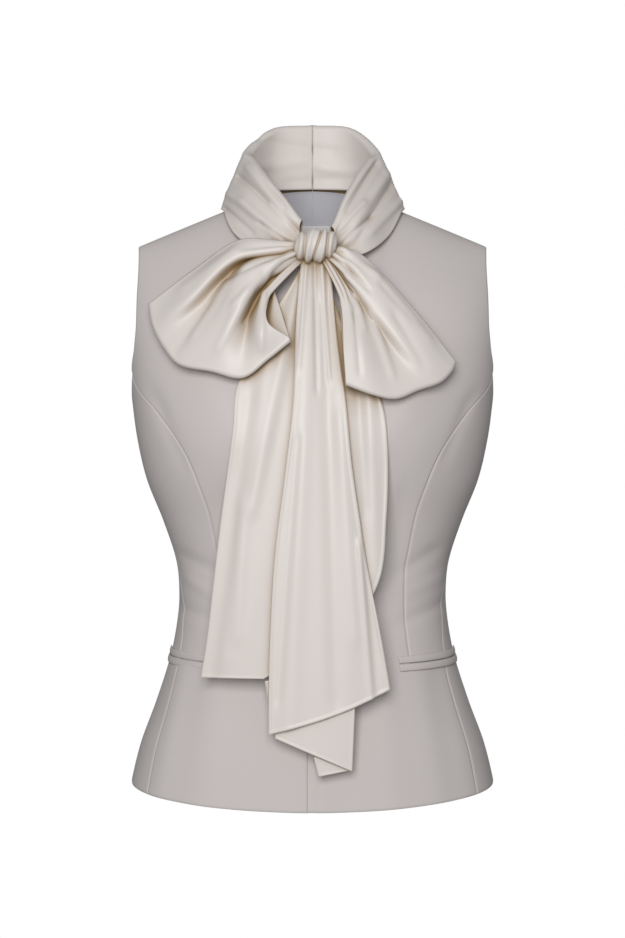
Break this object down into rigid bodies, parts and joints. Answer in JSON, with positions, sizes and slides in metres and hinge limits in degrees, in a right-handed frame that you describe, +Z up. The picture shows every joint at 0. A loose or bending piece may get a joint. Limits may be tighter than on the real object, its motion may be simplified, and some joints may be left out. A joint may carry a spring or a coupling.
{
  "type": "fitted sleeveless waistcoat with a scarf collar tied in a bow",
  "caption": "Worn form of a fitted sleeveless waistcoat in suiting with jetted pockets and a doubled satin scarf collar tied in a bow with long hanging ends",
  "frame": {"origin": "middle of the neck base, level with the inner ends of the shoulder seams", "axes": "+Z up, the front faces -Y, +X is the wearer's left side"},
  "size_m": [0.3604, 0.263, 0.6785],
  "materials": {
    "suiting": "plain woven greige suiting, matt",
    "satin": "ivory satin with a soft sheen",
    "lining": "pale blue-grey lining twill with a slight sheen",
    "label": "bare woven label, matt"
  },
  "bodies": {
    "root": {"front_right": "suiting", "front_left": "suiting", "front_side_right": "suiting", "front_side_left": "suiting", "side_right": "suiting", "side_left": "suiting", "back_right": "suiting", "back_left": "suiting", "pocket_welt_upper_right": "suiting", "pocket_welt_lower_right": "suiting", "pocket_welt_upper_left": "suiting", "pocket_welt_lower_left": "suiting", "lining_back_right": "lining", "lining_back_left": "lining", "label": "label", "collar_right": "satin", "collar_left": "satin", "knot": "satin", "loop_right": "satin", "loop_left": "satin", "tail_back": "satin", "tail_back_corner": "satin", "tail_front": "satin", "tail_front_folded_end": "satin", "tail_front_corner": "satin"}
  },
  "joints": []
}
